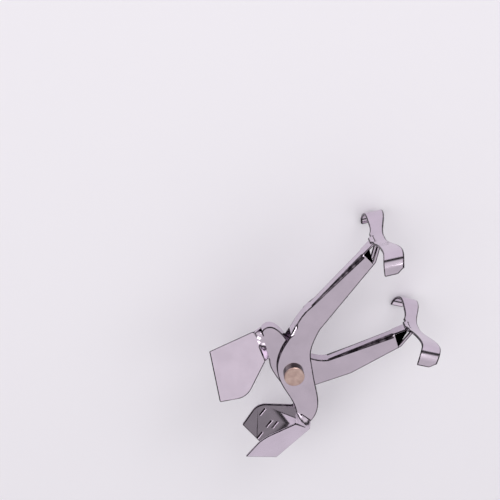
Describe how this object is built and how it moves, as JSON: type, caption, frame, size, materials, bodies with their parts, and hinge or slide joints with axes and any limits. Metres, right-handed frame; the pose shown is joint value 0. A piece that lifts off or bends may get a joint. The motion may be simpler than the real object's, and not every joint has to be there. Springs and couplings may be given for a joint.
{
  "type": "champagne cork pliers",
  "caption": "Chrome-plated cork pliers: two crossed channel levers on one rivet, with toothed V jaws and curved anchor-shaped handle ends.",
  "frame": {"origin": "middle of the flat face of the pivot rivet's front head", "axes": "+Z along the rivet's axis, out of its front head; +X along the outer lever's handle, away from the jaws; +Y from the inner lever's handle towards the outer lever's web"},
  "size_m": [0.131, 0.079, 0.0712],
  "materials": {
    "chrome": "mirror chrome plate on pressed steel",
    "copper": "satin copper-coloured rivet",
    "steel": "plain steel washer"
  },
  "bodies": {
    "outer": {"outer_lever": "chrome", "pivot_rivet": "copper", "rivet_washer": "steel", "front_thrust_washer": "steel", "rear_thrust_washer": "steel"},
    "inner": {"inner_lever": "chrome"}
  },
  "joints": [
    {"name": "lever_pivot", "type": "hinge", "parent": "outer", "child": "inner", "pos_m": [0, 0, -0.0083], "axis": [0, 0, 1], "range_deg": [-6, 32]}
  ]
}
